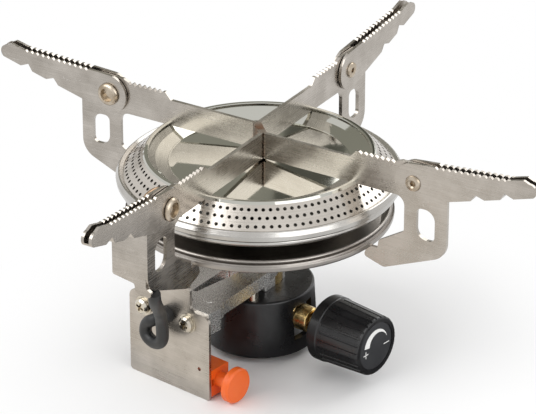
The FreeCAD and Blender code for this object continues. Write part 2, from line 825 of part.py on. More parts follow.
# Igniter plate: upright sheet with a tongue, two screw holes and the lead's hole
LEAD_HOLE = (-3.1, 30.6)


def igniter_plate():
    body = new_body("igniter_plate")
    left = size("plateLeft")
    right = size("plateRight")
    top = size("plateTop")
    front = size("plateFront")
    thick = size("plateThick")
    sheet_face = outline(body, "XZ_Plane", [
        corner(left, 0.0, 1.5), corner(right, 0.0, 1.5), corner(right, top, 3.0), corner(8.2, top, 2.5),
        corner(8.2, 46.5, 3.0), corner(-7.0, 46.5, 3.0), corner(-7.0, top, 2.5), corner(left, top, 3.5),
    ], offset=front - thick)
    pad(body, sheet_face, thick)
    holes = circles(body, "XZ_Plane", [
        (size("screwLeft"), size("screwHeight"), 1.6), (size("screwRight"), size("screwHeight"), 1.6),
        (LEAD_HOLE[0], LEAD_HOLE[1], 3.2), (12.6, 12.2, 0.8),
    ], offset=front - thick - 1.0)
    pocket(body, holes, thick + 2.0)
    return lower(body)


igniter_plate()


# Pan head screws with a cross recess, and the washer behind the right one
def pan_screw(across):
    front = plain(size("plateFront"))
    height = plain(size("screwHeight"))
    washer = 0.6
    head = spun([
        corner(0, -7.5), corner(1.45, -7.5), corner(1.45, washer), corner(3.2, washer), corner(3.1, washer + 1.3),
        corner(2.3, washer + 2.0), corner(0, washer + 2.2),
    ], Vector(across, -front, height), Vector(0, -1, 0))
    for angle in (20, 110):
        slot = Part.makeBox(3.6, 2.4, 0.9, Vector(-1.8, -1.4, -0.45))
        slot.rotate(Vector(0, 0, 0), Vector(0, 1, 0), angle)
        slot.translate(Vector(across, -front - washer - 1.5, height))
        head = head.cut(slot)
    return head


screw_places = (plain(size("screwLeft")), plain(size("screwRight")))
shape_part("plate_screws", Part.Compound([pan_screw(across) for across in screw_places]), LOWER_TURN)
washers = []
for across in screw_places:
    spot = Vector(across, -plain(size("plateFront")), plain(size("screwHeight")))
    washers.append(spun([corner(1.6, 0), corner(3.9, 0), corner(3.9, 0.55), corner(1.6, 0.55)], spot,
                        Vector(0, -1, 0)))
shape_part("screw_washers", Part.Compound(washers), LOWER_TURN)

grommet_spot = Vector(LEAD_HOLE[0], -plain(size("plateFront")) + 2.4, LEAD_HOLE[1])
shape_part("lead_grommet", spun([
    corner(2.2, 0), corner(3.6, 0), corner(3.6, 1.1), corner(3.1, 1.15), corner(3.1, 2.45), corner(3.35, 2.5),
    corner(3.2, 5.0), corner(2.8, 5.6), corner(2.2, 5.6),
], grommet_spot, Vector(0, -1, 0)), LOWER_TURN)


# Tube along straight runs joined by tangent arcs, each as large as its two runs allow
def bent_tube(spots, radius, share=0.45):
    edges = []
    last = spots[0]
    length = 0.0
    radii = []
    for before, here, after in zip(spots, spots[1:], spots[2:]):
        back = before - here
        ahead = after - here
        turn = math.pi - back.getAngle(ahead)
        reach = share * min(back.Length, ahead.Length)
        bend = reach / math.tan(turn / 2)
        radii.append(bend)
        start = here + back.normalize() * reach
        end = here + ahead.normalize() * reach
        inward = (back + ahead).normalize()
        centre = here + inward * (bend / math.cos(turn / 2))
        middle = centre - inward * bend
        edges.append(Part.makeLine(last, start))
        edges.append(Part.Arc(start, middle, end).toShape())
        length += (start - last).Length + bend * turn
        last = end
    edges.append(Part.makeLine(last, spots[-1]))
    length += (spots[-1] - last).Length
    path = Part.Wire(edges)
    section = Part.Wire(Part.makeCircle(radius, spots[0], spots[1] - spots[0]))
    tube = path.makePipeShell([section], True, True)
    print("tube radii", [round(bend, 1) for bend in radii])
    print("tube length %.1f, volume over section %.1f" % (length, tube.Volume / (math.pi * radius ** 2)))
    return tube


# Route of the igniter lead, seen with the plate square on: down from the leg, one loop, then in behind
LEAD_ROUTE = [
    Vector(15.6, -78.4, 57.2), Vector(14.8, -77.4, 52.4), Vector(4.3, -62.4, 38.6), Vector(3.0, -59.6, 30.0),
    Vector(0.9, -58.4, 24.0), Vector(-4.4, -57.4, 20.6), Vector(-9.6, -56.6, 22.4), Vector(-9.4, -56.2, 27.8),
    Vector(-3.1, -57.7, 31.0), Vector(-3.1, -43.8, 30.6), Vector(-3.2, -43.8, 22.0), Vector(-11.0, -44.0, 17.4),
    Vector(-21.0, -44.2, 15.2), Vector(-21.0, -44.2, 7.1), Vector(-10.8, -44.2, 7.1),
]
shape_part("ignition_lead", bent_tube(LEAD_ROUTE, plain(size("leadRadius"))), LOWER_TURN)

ELECTRODE_ROUTE = [
    Vector(-3.2, -79.0, 66.0), Vector(-3.2, -78.2, 91.0), Vector(-3.2, -72.0, 95.6), Vector(-3.2, -62.8, 94.4),
    Vector(-3.0, -57.6, 87.0),
]
WIRE_RADIUS = 0.8
INSULATOR_START = 0.24
shape_part("electrode_wire", bent_tube(ELECTRODE_ROUTE, WIRE_RADIUS, 0.35))
wire_way = ELECTRODE_ROUTE[1] - ELECTRODE_ROUTE[0]
shape_part("ceramic_insulator", spun([
    corner(0.82, 0), corner(2.3, 0), corner(2.3, 21.4), corner(1.9, 22.6), corner(0.82, 22.6),
], ELECTRODE_ROUTE[0] - wire_way * INSULATOR_START, wire_way))


# Igniter: orange housing behind the plate, sprung button on its end, piezo element inside
IGNITER_LINE = -44.2


def igniter_housing():
    body = new_body("igniter_housing")
    end = size("housingEnd")
    axis_height = size("buttonAxis")
    back = size("plateFront") - size("plateThick")
    shell = outline(body, "YZ_Plane", [
        corner(-back, 1.2, 0.5), corner(-39.2, 1.2, 0.5), corner(-39.2, 12.4, 0.5), corner(-back, 12.4, 0.5),
    ], offset=-12.0)
    pad(body, shell, end + 12.0)
    bore = circles(body, "YZ_Plane", [(IGNITER_LINE, axis_height, 4.4)], offset=-8.0)
    pocket(body, bore, end + 6.8)
    mouth = circles(body, "YZ_Plane", [(IGNITER_LINE, axis_height, 3.1)], offset=-8.0)
    pocket(body, mouth, end + 10.0)
    lead_hole = circles(body, "YZ_Plane", [(IGNITER_LINE, axis_height, 2.35)], offset=-13.0)
    pocket(body, lead_hole, 3.0)
    side_hole = outline(body, "YZ_Plane", [
        corner(-48.8, 5.6), corner(-47.6, 5.6), corner(-47.6, 8.4), corner(-48.8, 8.4),
    ], offset=end - 2.0)
    pocket(body, side_hole, 4.0)
    return lower(body)


igniter_housing()


def turned_at(label, corners):
    solid = spun(corners, Vector(0, IGNITER_LINE, plain(size("buttonAxis"))), Vector(1, 0, 0))
    return shape_part(label, solid, LOWER_TURN)


button_radius = plain(size("buttonRadius"))
turned_at("igniter_button", [
    corner(0, 9.0), corner(4.3, 9.0), corner(4.3, 11.0), corner(3.0, 11.0), corner(3.0, 23.6),
    corner(button_radius - 0.4, 23.6), corner(button_radius, 24.0), corner(button_radius, 26.2),
    corner(button_radius - 0.7, 26.9), corner(0, 26.9),
])
turned_at("igniter_spring", [corner(2.4, 0.6), corner(3.8, 0.6), corner(3.8, 8.9), corner(2.4, 8.9)])
turned_at("piezo_element", [corner(0, -7.9), corner(4.3, -7.9), corner(4.3, 0.5), corner(0, 0.5)])


# Every feature must stand before anything is written
doc.recompute()
for thing in doc.Objects:
    for word in ("Invalid", "Error"):
        if word in thing.State:
            raise ValueError("failed feature " + thing.Label)
triangles = 0
for thing in SUBPARTS:
    shape = thing.Shape
    if shape.isNull() or not shape.isValid():
        raise ValueError("bad shape " + thing.Label)
    triangles += len(shape.tessellate(0.1)[1])
    shape.exportStep(os.path.join("parts", thing.Label + ".step"))
print("sub-parts", len(SUBPARTS), "triangles about", triangles)
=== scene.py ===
import math
import bpy
from mathutils import Matrix, Vector


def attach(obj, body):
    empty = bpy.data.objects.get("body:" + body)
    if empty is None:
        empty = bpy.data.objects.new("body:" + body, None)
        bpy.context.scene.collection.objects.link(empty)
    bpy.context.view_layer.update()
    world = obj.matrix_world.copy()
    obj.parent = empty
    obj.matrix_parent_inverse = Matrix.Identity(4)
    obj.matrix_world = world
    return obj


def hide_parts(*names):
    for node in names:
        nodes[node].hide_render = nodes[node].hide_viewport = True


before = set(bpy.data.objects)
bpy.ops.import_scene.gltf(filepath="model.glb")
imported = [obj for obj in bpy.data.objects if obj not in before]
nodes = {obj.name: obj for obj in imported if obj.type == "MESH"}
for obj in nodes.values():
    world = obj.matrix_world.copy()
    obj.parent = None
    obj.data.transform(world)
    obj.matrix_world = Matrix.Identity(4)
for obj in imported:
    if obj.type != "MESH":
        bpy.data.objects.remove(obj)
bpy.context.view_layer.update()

mm = 0.001  # one millimetre, in Blender's metres
photoWidth = 536  # the photograph's frame, in pixels
photoHeight = 414
smoothLimit = 30  # edges that turn by less than this many degrees look smooth
weldReach = 0.002  # corners nearer to each other than this many millimetres are one
frameTurn = math.radians(-8.5)  # valve, cup, knob and igniter stand turned against the pot arms
knobHeight = 17.0  # the knob's axis above the resting plane, in millimetres
pivotHeight = 88.0  # the arm pivots above the resting plane, in millimetres


# Helpers that pick, place and finish a piece as by hand
def selectOnly(*things):
    bpy.ops.object.select_all(action="DESELECT")
    for thing in things:
        thing.select_set(True)
    bpy.context.view_layer.objects.active = things[-1]


def applyPlace(thing):
    selectOnly(thing)
    bpy.ops.object.transform_apply(location=True, rotation=True, scale=True)


def applyModifiers(thing):
    selectOnly(thing)
    for modifier in list(thing.modifiers):
        bpy.ops.object.modifier_apply(modifier=modifier.name)


def nameActive(name):
    piece = bpy.context.view_layer.objects.active
    piece.name = name
    piece.data.name = name
    return piece


def smoothByAngle(thing):
    selectOnly(thing)
    bpy.ops.object.shade_smooth_by_angle(angle=math.radians(smoothLimit))


# Helpers that draw an outline vertex by vertex, in millimetres, and turn it or raise it into a solid.
# Known fault: slerp gives directions, so the points of a rounded corner lie 1 mm from the rounding's
# centre whatever its radius, and only corners of radius 0 or 1 come out as the outlines say.
def roundCorners(corners, steps=5):
    spots = []
    for index, (across, along, radius) in enumerate(corners):
        here = Vector((across, along, 0))
        if not radius:
            spots.append(here * mm)
            continue
        before = (Vector((*corners[index - 1][:2], 0)) - here).normalized()
        after = (Vector((*corners[(index + 1) % len(corners)][:2], 0)) - here).normalized()
        half = before.angle(after) / 2
        centre = here + (before + after).normalized() * (radius / math.sin(half))
        first = here + before * (radius / math.tan(half)) - centre
        last = here + after * (radius / math.tan(half)) - centre
        spots += [(centre + first.slerp(last, step / steps)) * mm for step in range(steps + 1)]
    return spots


def drawOutline(name, corners, upright=False):
    spots = roundCorners(corners)
    if upright:
        spots = [Vector((spot.x, 0, spot.y)) for spot in spots]
    bpy.ops.object.select_all(action="DESELECT")
    bpy.ops.mesh.primitive_plane_add(size=mm)
    piece = nameActive(name)
    bpy.ops.object.mode_set(mode="EDIT")
    bpy.ops.mesh.select_mode(type="VERT")
    bpy.ops.mesh.select_all(action="SELECT")
    bpy.ops.mesh.merge(type="CENTER")
    bpy.ops.transform.translate(value=spots[0])
    for before, here in zip(spots, spots[1:] + spots[:1]):
        bpy.ops.mesh.extrude_vertices_move(TRANSFORM_OT_translate={"value": here - before})
    bpy.ops.mesh.select_all(action="SELECT")
    bpy.ops.mesh.remove_doubles(threshold=weldReach * mm)
    return piece


def closeMesh():
    bpy.ops.mesh.select_all(action="SELECT")
    bpy.ops.mesh.remove_doubles(threshold=weldReach * mm)
    bpy.ops.mesh.normals_make_consistent(inside=False)
    bpy.ops.object.mode_set(mode="OBJECT")


def turnPiece(name, corners, steps=96):
    piece = drawOutline(name, corners, upright=True)
    bpy.ops.mesh.spin(steps=steps, angle=math.tau, center=(0, 0, 0), axis=(0, 0, 1))
    closeMesh()
    return piece


def raisePiece(name, corners, low, high, flare=1.0):
    piece = drawOutline(name, corners)
    bpy.ops.mesh.edge_face_add()
    bpy.ops.transform.translate(value=(0, 0, low * mm))
    bpy.ops.mesh.extrude_region_move(TRANSFORM_OT_translate={"value": (0, 0, (high - low) * mm)})
    if flare != 1.0:
        bpy.ops.transform.resize(value=(flare, flare, 1))
    closeMesh()
    return piece


def makeBlock(name, low, high):
    bpy.ops.object.select_all(action="DESELECT")
    middle = [(first + last) / 2 * mm for first, last in zip(low, high)]
    bpy.ops.mesh.primitive_cube_add(size=1, location=middle)
    piece = nameActive(name)
    piece.scale = [(last - first) * mm for first, last in zip(low, high)]
    applyPlace(piece)
    return piece


def makeRod(name, middle, radius, length, sides=32, lean=0.0):
    bpy.ops.mesh.primitive_cylinder_add(vertices=sides, radius=radius * mm, depth=length * mm,
                                        location=[place * mm for place in middle], rotation=(0, lean, 0))
    piece = nameActive(name)
    applyPlace(piece)
    return piece


def combine(piece, other, operation="UNION"):
    modifier = piece.modifiers.new("combine", "BOOLEAN")
    modifier.object = other
    modifier.operation = operation
    modifier.solver = "EXACT"
    applyModifiers(piece)
    bpy.data.objects.remove(other)


def softenEdges(piece, width, degrees=40, segments=2):
    modifier = piece.modifiers.new("soften", "BEVEL")
    modifier.width = width * mm
    modifier.segments = segments
    modifier.limit_method = "ANGLE"
    modifier.angle_limit = math.radians(degrees)
    modifier.use_clamp_overlap = True
    applyModifiers(piece)


# Lays a piece drawn about Z along the knob's axis, or leaves it upright, and turns it with the lower works
def turnWithFrame(piece, alongKnob=False):
    if alongKnob:
        piece.rotation_euler = (0, math.radians(90), 0)
        piece.location = (0, 0, knobHeight * mm)
        applyPlace(piece)
    piece.rotation_euler = (0, 0, frameTurn)
    applyPlace(piece)


def joinPieces(name, pieces):
    selectOnly(*pieces)
    bpy.ops.object.join()
    return nameActive(name)


def settle(piece, materialName, slot, body, *replaced):
    piece.data.materials.clear()
    piece.data.materials.append(materials[materialName])
    smoothByAngle(piece)
    modifier = piece.modifiers.new("evenNormals", "WEIGHTED_NORMAL")
    modifier.keep_sharp = True
    applyModifiers(piece)
    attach(piece, body)
    if replaced:
        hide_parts(*replaced)


# Helpers that build shader groups and materials
def newGroup(name, inputs, outputs):
    group = bpy.data.node_groups.new(name, "ShaderNodeTree")
    for label, kind, value in inputs:
        socket = group.interface.new_socket(label, in_out="INPUT", socket_type=kind)
        if value is not None:
            socket.default_value = value
    for label, kind in outputs:
        group.interface.new_socket(label, in_out="OUTPUT", socket_type=kind)
    start = group.nodes.new("NodeGroupInput")
    end = group.nodes.new("NodeGroupOutput")
    return group, start, end


def fill(tree, socket, value):
    if isinstance(value, bpy.types.NodeSocket):
        tree.links.new(value, socket)
    else:
        socket.default_value = value


# Inputs are given by label, or by place as n0, n1 and so on
def addNode(tree, kind, settings=None, **inputs):
    node = tree.nodes.new(kind)
    for key, value in (settings or {}).items():
        setattr(node, key, value)
    for key, value in inputs.items():
        byPlace = key[0] == "n" and key[1:].isdigit()
        fill(tree, node.inputs[int(key[1:]) if byPlace else key], value)
    return node


def mathNode(tree, operation, first, second=0.0, clamp=False):
    settings = {"operation": operation, "use_clamp": clamp}
    return addNode(tree, "ShaderNodeMath", settings, n0=first, n1=second).outputs[0]


def mixColour(tree, share, first, second, blend="MIX"):
    settings = {"data_type": "RGBA", "blend_type": blend}
    return addNode(tree, "ShaderNodeMix", settings, n0=share, n6=first, n7=second).outputs[2]


def remap(tree, value, low, high, toLow=0.0, toHigh=1.0):
    spans = {"n0": value, "n1": low, "n2": high, "n3": toLow, "n4": toHigh}
    return addNode(tree, "ShaderNodeMapRange", {"clamp": True}, **spans).outputs[0]


def lengthAcross(tree, parts):
    flat = addNode(tree, "ShaderNodeCombineXYZ", n0=parts.outputs[0], n1=parts.outputs[1]).outputs[0]
    return addNode(tree, "ShaderNodeVectorMath", {"operation": "LENGTH"}, n0=flat).outputs["Value"]


def callGroup(tree, group, **inputs):
    return addNode(tree, "ShaderNodeGroup", {"node_tree": group}, **inputs)


def newMaterial(name, constants):
    material = bpy.data.materials.new(name)
    material.use_nodes = True
    tree = material.node_tree
    shader = tree.nodes["Principled BSDF"]
    for label, value in constants.items():
        shader.inputs[label].default_value = value
    where = addNode(tree, "ShaderNodeTexCoord").outputs["Object"]
    return material, tree, shader, where


def feed(tree, shader, **sources):
    labels = {"colour": "Base Color", "roughness": "Roughness", "normal": "Normal"}
    for key, source in sources.items():
        tree.links.new(source, shader.inputs[labels[key]])


print("helpers ready")


# Shader groups: grain of rolled or spun sheet, handling marks, weld tint
def makeGrainGroup():
    group, start, end = newGroup("rolledGrain", [
        ("Vector", "NodeSocketVector", None), ("Across", "NodeSocketFloat", 2600.0),
        ("Along", "NodeSocketFloat", 55.0)], [("Grain", "NodeSocketFloat"), ("Cloud", "NodeSocketFloat")])
    stretch = addNode(group, "ShaderNodeCombineXYZ")
    group.links.new(start.outputs["Along"], stretch.inputs[0])
    group.links.new(start.outputs["Along"], stretch.inputs[1])
    group.links.new(start.outputs["Across"], stretch.inputs[2])
    scaled = addNode(group, "ShaderNodeVectorMath", {"operation": "MULTIPLY"},
                     n0=start.outputs["Vector"], n1=stretch.outputs[0]).outputs[0]
    fine = addNode(group, "ShaderNodeTexNoise", Vector=scaled, Scale=1.0, Detail=3.0, Roughness=0.65)
    cloud = addNode(group, "ShaderNodeTexNoise", Vector=start.outputs["Vector"], Scale=90.0, Detail=4.0,
                    Roughness=0.55)
    group.links.new(fine.outputs[0], end.inputs["Grain"])
    group.links.new(cloud.outputs[0], end.inputs["Cloud"])
    return group


def makeSpunGroup():
    group, start, end = newGroup("spunRings", [
        ("Vector", "NodeSocketVector", None), ("Rings", "NodeSocketFloat", 2400.0)],
        [("Rings", "NodeSocketFloat"), ("Cloud", "NodeSocketFloat")])
    parts = addNode(group, "ShaderNodeSeparateXYZ", n0=start.outputs["Vector"])
    radius = lengthAcross(group, parts)
    both = addNode(group, "ShaderNodeCombineXYZ", n0=radius, n1=parts.outputs[2])
    rings = addNode(group, "ShaderNodeTexNoise", Vector=both.outputs[0], Scale=start.outputs["Rings"],
                    Detail=2.0, Roughness=0.6)
    cloud = addNode(group, "ShaderNodeTexNoise", Vector=start.outputs["Vector"], Scale=60.0, Detail=4.0)
    group.links.new(rings.outputs[0], end.inputs["Rings"])
    group.links.new(cloud.outputs[0], end.inputs["Cloud"])
    return group


def makeScratchGroup():
    group, start, end = newGroup("handlingMarks", [
        ("Vector", "NodeSocketVector", None), ("Density", "NodeSocketFloat", 160.0),
        ("Amount", "NodeSocketFloat", 0.5)], [("Scratch", "NodeSocketFloat")])
    total = None
    for index, (angle, stretch) in enumerate(((0.5, 9.0), (-0.9, 7.0), (1.3, 12.0))):
        mapping = addNode(group, "ShaderNodeMapping", {"vector_type": "POINT"})
        group.links.new(start.outputs["Vector"], mapping.inputs[0])
        mapping.inputs["Rotation"].default_value = (angle, 0.35 * index, angle * 0.7)
        mapping.inputs["Scale"].default_value = (1.0, stretch, stretch)
        cells = addNode(group, "ShaderNodeTexVoronoi", {"feature": "DISTANCE_TO_EDGE"},
                        Vector=mapping.outputs[0], Scale=start.outputs["Density"])
        line = remap(group, cells.outputs[0], 0.0, 0.012, 1.0, 0.0)
        gate = addNode(group, "ShaderNodeTexNoise", Vector=mapping.outputs[0], Scale=45.0, Detail=1.0)
        line = mathNode(group, "MULTIPLY", line, remap(group, gate.outputs[0], 0.56, 0.66))
        total = line if total is None else mathNode(group, "MAXIMUM", total, line)
    group.links.new(mathNode(group, "MULTIPLY", total, start.outputs["Amount"]), end.inputs["Scratch"])
    return group


def makeWeldGroup():
    group, start, end = newGroup("weldTint", [
        ("Vector", "NodeSocketVector", None), ("Reach", "NodeSocketFloat", 7.0 * mm)],
        [("Tint", "NodeSocketFloat")])
    parts = addNode(group, "ShaderNodeSeparateXYZ", n0=start.outputs["Vector"])
    radius = lengthAcross(group, parts)
    wobble = addNode(group, "ShaderNodeTexNoise", Vector=start.outputs["Vector"], Scale=420.0, Detail=2.0)
    wobble = remap(group, wobble.outputs[0], 0.3, 0.7, 0.6, 1.3)
    reach = mathNode(group, "MULTIPLY", start.outputs["Reach"], wobble)
    near = addNode(group, "ShaderNodeMapRange", {"clamp": True, "interpolation_type": "SMOOTHSTEP"},
                   n0=radius, n1=0.0, n2=reach, n3=1.0, n4=0.0)
    group.links.new(near.outputs[0], end.inputs["Tint"])
    return group


grainGroup = makeGrainGroup()
spunGroup = makeSpunGroup()
scratchGroup = makeScratchGroup()
weldGroup = makeWeldGroup()


def bumpFrom(tree, height, strength, distance=0.02 * mm):
    return addNode(tree, "ShaderNodeBump", Strength=strength, Distance=distance, Height=height).outputs[0]


# Stainless sheet of the pot supports, arms and igniter plate
sheetLook = {"colour": (0.4, 0.367, 0.327, 1), "worn": (0.52, 0.482, 0.437, 1), "tint": (0.26, 0.1, 0.035, 1),
             "scratched": (0.66, 0.63, 0.59, 1), "roughLow": 0.19, "roughHigh": 0.34, "grain": 0.2,
             "scratch": 0.8, "tinting": 0.85}


def makeSheetMaterial(name, tinted=False, lift=0.0):
    look = sheetLook
    material, tree, shader, where = newMaterial(name, {"Metallic": 1.0})
    grain = callGroup(tree, grainGroup, Vector=where)
    marks = callGroup(tree, scratchGroup, Vector=where, Density=130.0, Amount=look["scratch"])
    tone = remap(tree, grain.outputs["Cloud"], 0.35, 0.68)
    colour = mixColour(tree, tone, look["colour"], look["worn"])
    streak = remap(tree, grain.outputs["Grain"], 0.3, 0.7, 0.86, 1.06)
    shade = addNode(tree, "ShaderNodeCombineColor", n0=streak, n1=streak, n2=streak)
    colour = mixColour(tree, 1.0, colour, shade.outputs[0], "MULTIPLY")
    colour = mixColour(tree, marks.outputs["Scratch"], colour, look["scratched"])
    if tinted:
        tint = callGroup(tree, weldGroup, Vector=where).outputs["Tint"]
        colour = mixColour(tree, mathNode(tree, "MULTIPLY", tint, look["tinting"]), colour, look["tint"])
    rough = remap(tree, grain.outputs["Grain"], 0.25, 0.75, look["roughLow"] + lift, look["roughHigh"] + lift)
    rough = mathNode(tree, "ADD", rough, remap(tree, grain.outputs["Cloud"], 0.3, 0.7, -0.05, 0.07))
    height = mathNode(tree, "SUBTRACT", grain.outputs["Grain"], marks.outputs["Scratch"])
    feed(tree, shader, colour=colour, roughness=rough, normal=bumpFrom(tree, height, look["grain"]))
    return material


# Polished cap of the burner
dishLook = {"colour": (0.5, 0.495, 0.45, 1), "roughLow": 0.035, "roughHigh": 0.1, "wave": 0.08}


def makeDishMaterial():
    look = dishLook
    constants = {"Metallic": 1.0, "Base Color": look["colour"]}
    material, tree, shader, where = newMaterial("polishedCap", constants)
    spun = callGroup(tree, spunGroup, Vector=where, Rings=900.0)
    marks = callGroup(tree, scratchGroup, Vector=where, Density=90.0, Amount=0.35)
    rough = remap(tree, spun.outputs["Cloud"], 0.3, 0.7, look["roughLow"], look["roughHigh"])
    rough = mathNode(tree, "ADD", rough, mathNode(tree, "MULTIPLY", marks.outputs["Scratch"], 0.25))
    wave = addNode(tree, "ShaderNodeTexNoise", Vector=where, Scale=45.0, Detail=1.0)
    normal = bumpFrom(tree, wave.outputs[0], look["wave"], 0.4 * mm)
    feed(tree, shader, roughness=rough, normal=normal)
    return material


# Spun sheet of the bowl, tray, tube and perforated band
spunLook = {"colour": (0.44, 0.425, 0.4, 1), "bright": (0.56, 0.545, 0.52, 1),
            "scratched": (0.66, 0.65, 0.62, 1), "roughLow": 0.16, "roughHigh": 0.3, "rings": 0.16}


def makeSpunMaterial(name, colour=None, bright=None, lift=0.0):
    look = spunLook
    material, tree, shader, where = newMaterial(name, {"Metallic": 1.0})
    spun = callGroup(tree, spunGroup, Vector=where)
    marks = callGroup(tree, scratchGroup, Vector=where, Density=110.0, Amount=0.5)
    tone = remap(tree, spun.outputs["Cloud"], 0.35, 0.66)
    mixed = mixColour(tree, tone, colour or look["colour"], bright or look["bright"])
    mixed = mixColour(tree, marks.outputs["Scratch"], mixed, look["scratched"])
    rough = remap(tree, spun.outputs["Rings"], 0.3, 0.7, look["roughLow"] + lift, look["roughHigh"] + lift)
    height = mathNode(tree, "SUBTRACT", spun.outputs["Rings"], marks.outputs["Scratch"])
    feed(tree, shader, colour=mixed, roughness=rough, normal=bumpFrom(tree, height, look["rings"]))
    return material


# Cast zinc of the support frame: satin tops, sparkling sides
castLook = {"colour": (0.86, 0.845, 0.82, 1), "dark": (0.66, 0.65, 0.63, 1), "grit": 2000.0}


def makeCastMaterial():
    look = castLook
    material, tree, shader, where = newMaterial("castZinc", {"Metallic": 0.9})
    grains = addNode(tree, "ShaderNodeTexNoise", Vector=where, Scale=look["grit"], Detail=3.0, Roughness=0.5)
    facing = addNode(tree, "ShaderNodeNewGeometry").outputs["Normal"]
    level = addNode(tree, "ShaderNodeSeparateXYZ", n0=facing).outputs[2]
    side = remap(tree, mathNode(tree, "ABSOLUTE", level), 0.55, 0.85, 1.0, 0.15)
    colour = mixColour(tree, remap(tree, grains.outputs[0], 0.36, 0.62), look["dark"], look["colour"])
    rough = remap(tree, grains.outputs[0], 0.3, 0.7, 0.2, 0.36)
    normal = addNode(tree, "ShaderNodeBump", Distance=0.1 * mm, Height=grains.outputs[0])
    tree.links.new(mathNode(tree, "MULTIPLY", side, 0.55), normal.inputs["Strength"])
    feed(tree, shader, colour=colour, roughness=rough, normal=normal.outputs[0])
    return material


# Moulded and turned parts: plastics, rubber, brass, bright screws, ceramic, electrode
plasticLooks = {
    "blackPlastic": {"colour": (0.012, 0.012, 0.013, 1), "scuff": (0.05, 0.05, 0.052, 1),
                     "rough": (0.22, 0.36), "bump": 0.1, "scale": 900.0},
    "dialPlastic": {"colour": (0.03, 0.031, 0.034, 1), "scuff": (0.06, 0.06, 0.063, 1),
                    "rough": (0.4, 0.52), "bump": 0.15, "scale": 1500.0},
    "leadSleeve": {"colour": (0.009, 0.0095, 0.01, 1), "scuff": (0.03, 0.031, 0.033, 1),
                   "rough": (0.42, 0.56), "bump": 0.12, "scale": 700.0},
    "blackRubber": {"colour": (0.014, 0.014, 0.014, 1), "scuff": (0.045, 0.045, 0.045, 1),
                    "rough": (0.5, 0.66), "bump": 0.2, "scale": 1100.0},
    "orangePlastic": {"colour": (0.86, 0.135, 0.012, 1), "scuff": (0.9, 0.2, 0.035, 1),
                      "rough": (0.3, 0.42), "bump": 0.06, "scale": 700.0},
    "whitePaint": {"colour": (0.82, 0.82, 0.8, 1), "scuff": (0.7, 0.7, 0.68, 1),
                   "rough": (0.4, 0.5), "bump": 0.08, "scale": 900.0},
    "glazedCeramic": {"colour": (0.8, 0.78, 0.73, 1), "scuff": (0.66, 0.63, 0.57, 1),
                      "rough": (0.16, 0.3), "bump": 0.05, "scale": 500.0},
}


def makePlasticMaterial(name):
    look = plasticLooks[name]
    material, tree, shader, where = newMaterial(name, {})
    skin = addNode(tree, "ShaderNodeTexNoise", Vector=where, Scale=look["scale"], Detail=3.0)
    cloud = addNode(tree, "ShaderNodeTexNoise", Vector=where, Scale=110.0, Detail=3.0)
    marks = callGroup(tree, scratchGroup, Vector=where, Density=150.0, Amount=0.25)
    worn = mathNode(tree, "ADD", mathNode(tree, "MULTIPLY", marks.outputs["Scratch"], 0.6),
                    remap(tree, cloud.outputs[0], 0.55, 0.8, 0.0, 0.3), clamp=True)
    colour = mixColour(tree, worn, look["colour"], look["scuff"])
    rough = remap(tree, cloud.outputs[0], 0.3, 0.7, *look["rough"])
    feed(tree, shader, colour=colour, roughness=rough, normal=bumpFrom(tree, skin.outputs[0], look["bump"]))
    return material


metalLooks = {
    "turnedBrass": {"colour": (0.62, 0.43, 0.17, 1), "bright": (0.78, 0.6, 0.3, 1), "rough": (0.18, 0.34)},
    "brightScrew": {"colour": (0.5, 0.455, 0.38, 1), "bright": (0.64, 0.6, 0.52, 1), "rough": (0.14, 0.28)},
    "rivetSteel": {"colour": (0.36, 0.29, 0.21, 1), "bright": (0.56, 0.49, 0.4, 1), "rough": (0.18, 0.34)},
    "heatedWire": {"colour": (0.2, 0.12, 0.07, 1), "bright": (0.42, 0.3, 0.2, 1), "rough": (0.28, 0.42)},
    "springWire": {"colour": (0.5, 0.5, 0.5, 1), "bright": (0.7, 0.7, 0.7, 1), "rough": (0.2, 0.3)},
}


def makeMetalMaterial(name):
    look = metalLooks[name]
    material, tree, shader, where = newMaterial(name, {"Metallic": 1.0})
    cloud = addNode(tree, "ShaderNodeTexNoise", Vector=where, Scale=260.0, Detail=4.0)
    marks = callGroup(tree, scratchGroup, Vector=where, Density=260.0, Amount=0.5)
    colour = mixColour(tree, remap(tree, cloud.outputs[0], 0.35, 0.65), look["colour"], look["bright"])
    rough = remap(tree, cloud.outputs[0], 0.3, 0.7, *look["rough"])
    height = mathNode(tree, "SUBTRACT", cloud.outputs[0], marks.outputs["Scratch"])
    feed(tree, shader, colour=colour, roughness=rough, normal=bumpFrom(tree, height, 0.15))
    return material


materials = {
    "supportSheet": makeSheetMaterial("supportSheet", tinted=True),
    "armSheet": makeSheetMaterial("armSheet"),
    "plateSheet": makeSheetMaterial("plateSheet", lift=0.04),
    "polishedCap": makeDishMaterial(),
    "spunSheet": makeSpunMaterial("spunSheet"),
    "bandSheet": makeSpunMaterial("bandSheet", (0.5, 0.465, 0.42, 1), (0.6, 0.56, 0.51, 1)),
    "traySheet": makeSpunMaterial("traySheet", (0.27, 0.25, 0.23, 1), (0.36, 0.335, 0.31, 1), lift=0.1),
    "castZinc": makeCastMaterial(),
}
for lookName in plasticLooks:
    materials[lookName] = makePlasticMaterial(lookName)
for lookName in metalLooks:
    materials[lookName] = makeMetalMaterial(lookName)

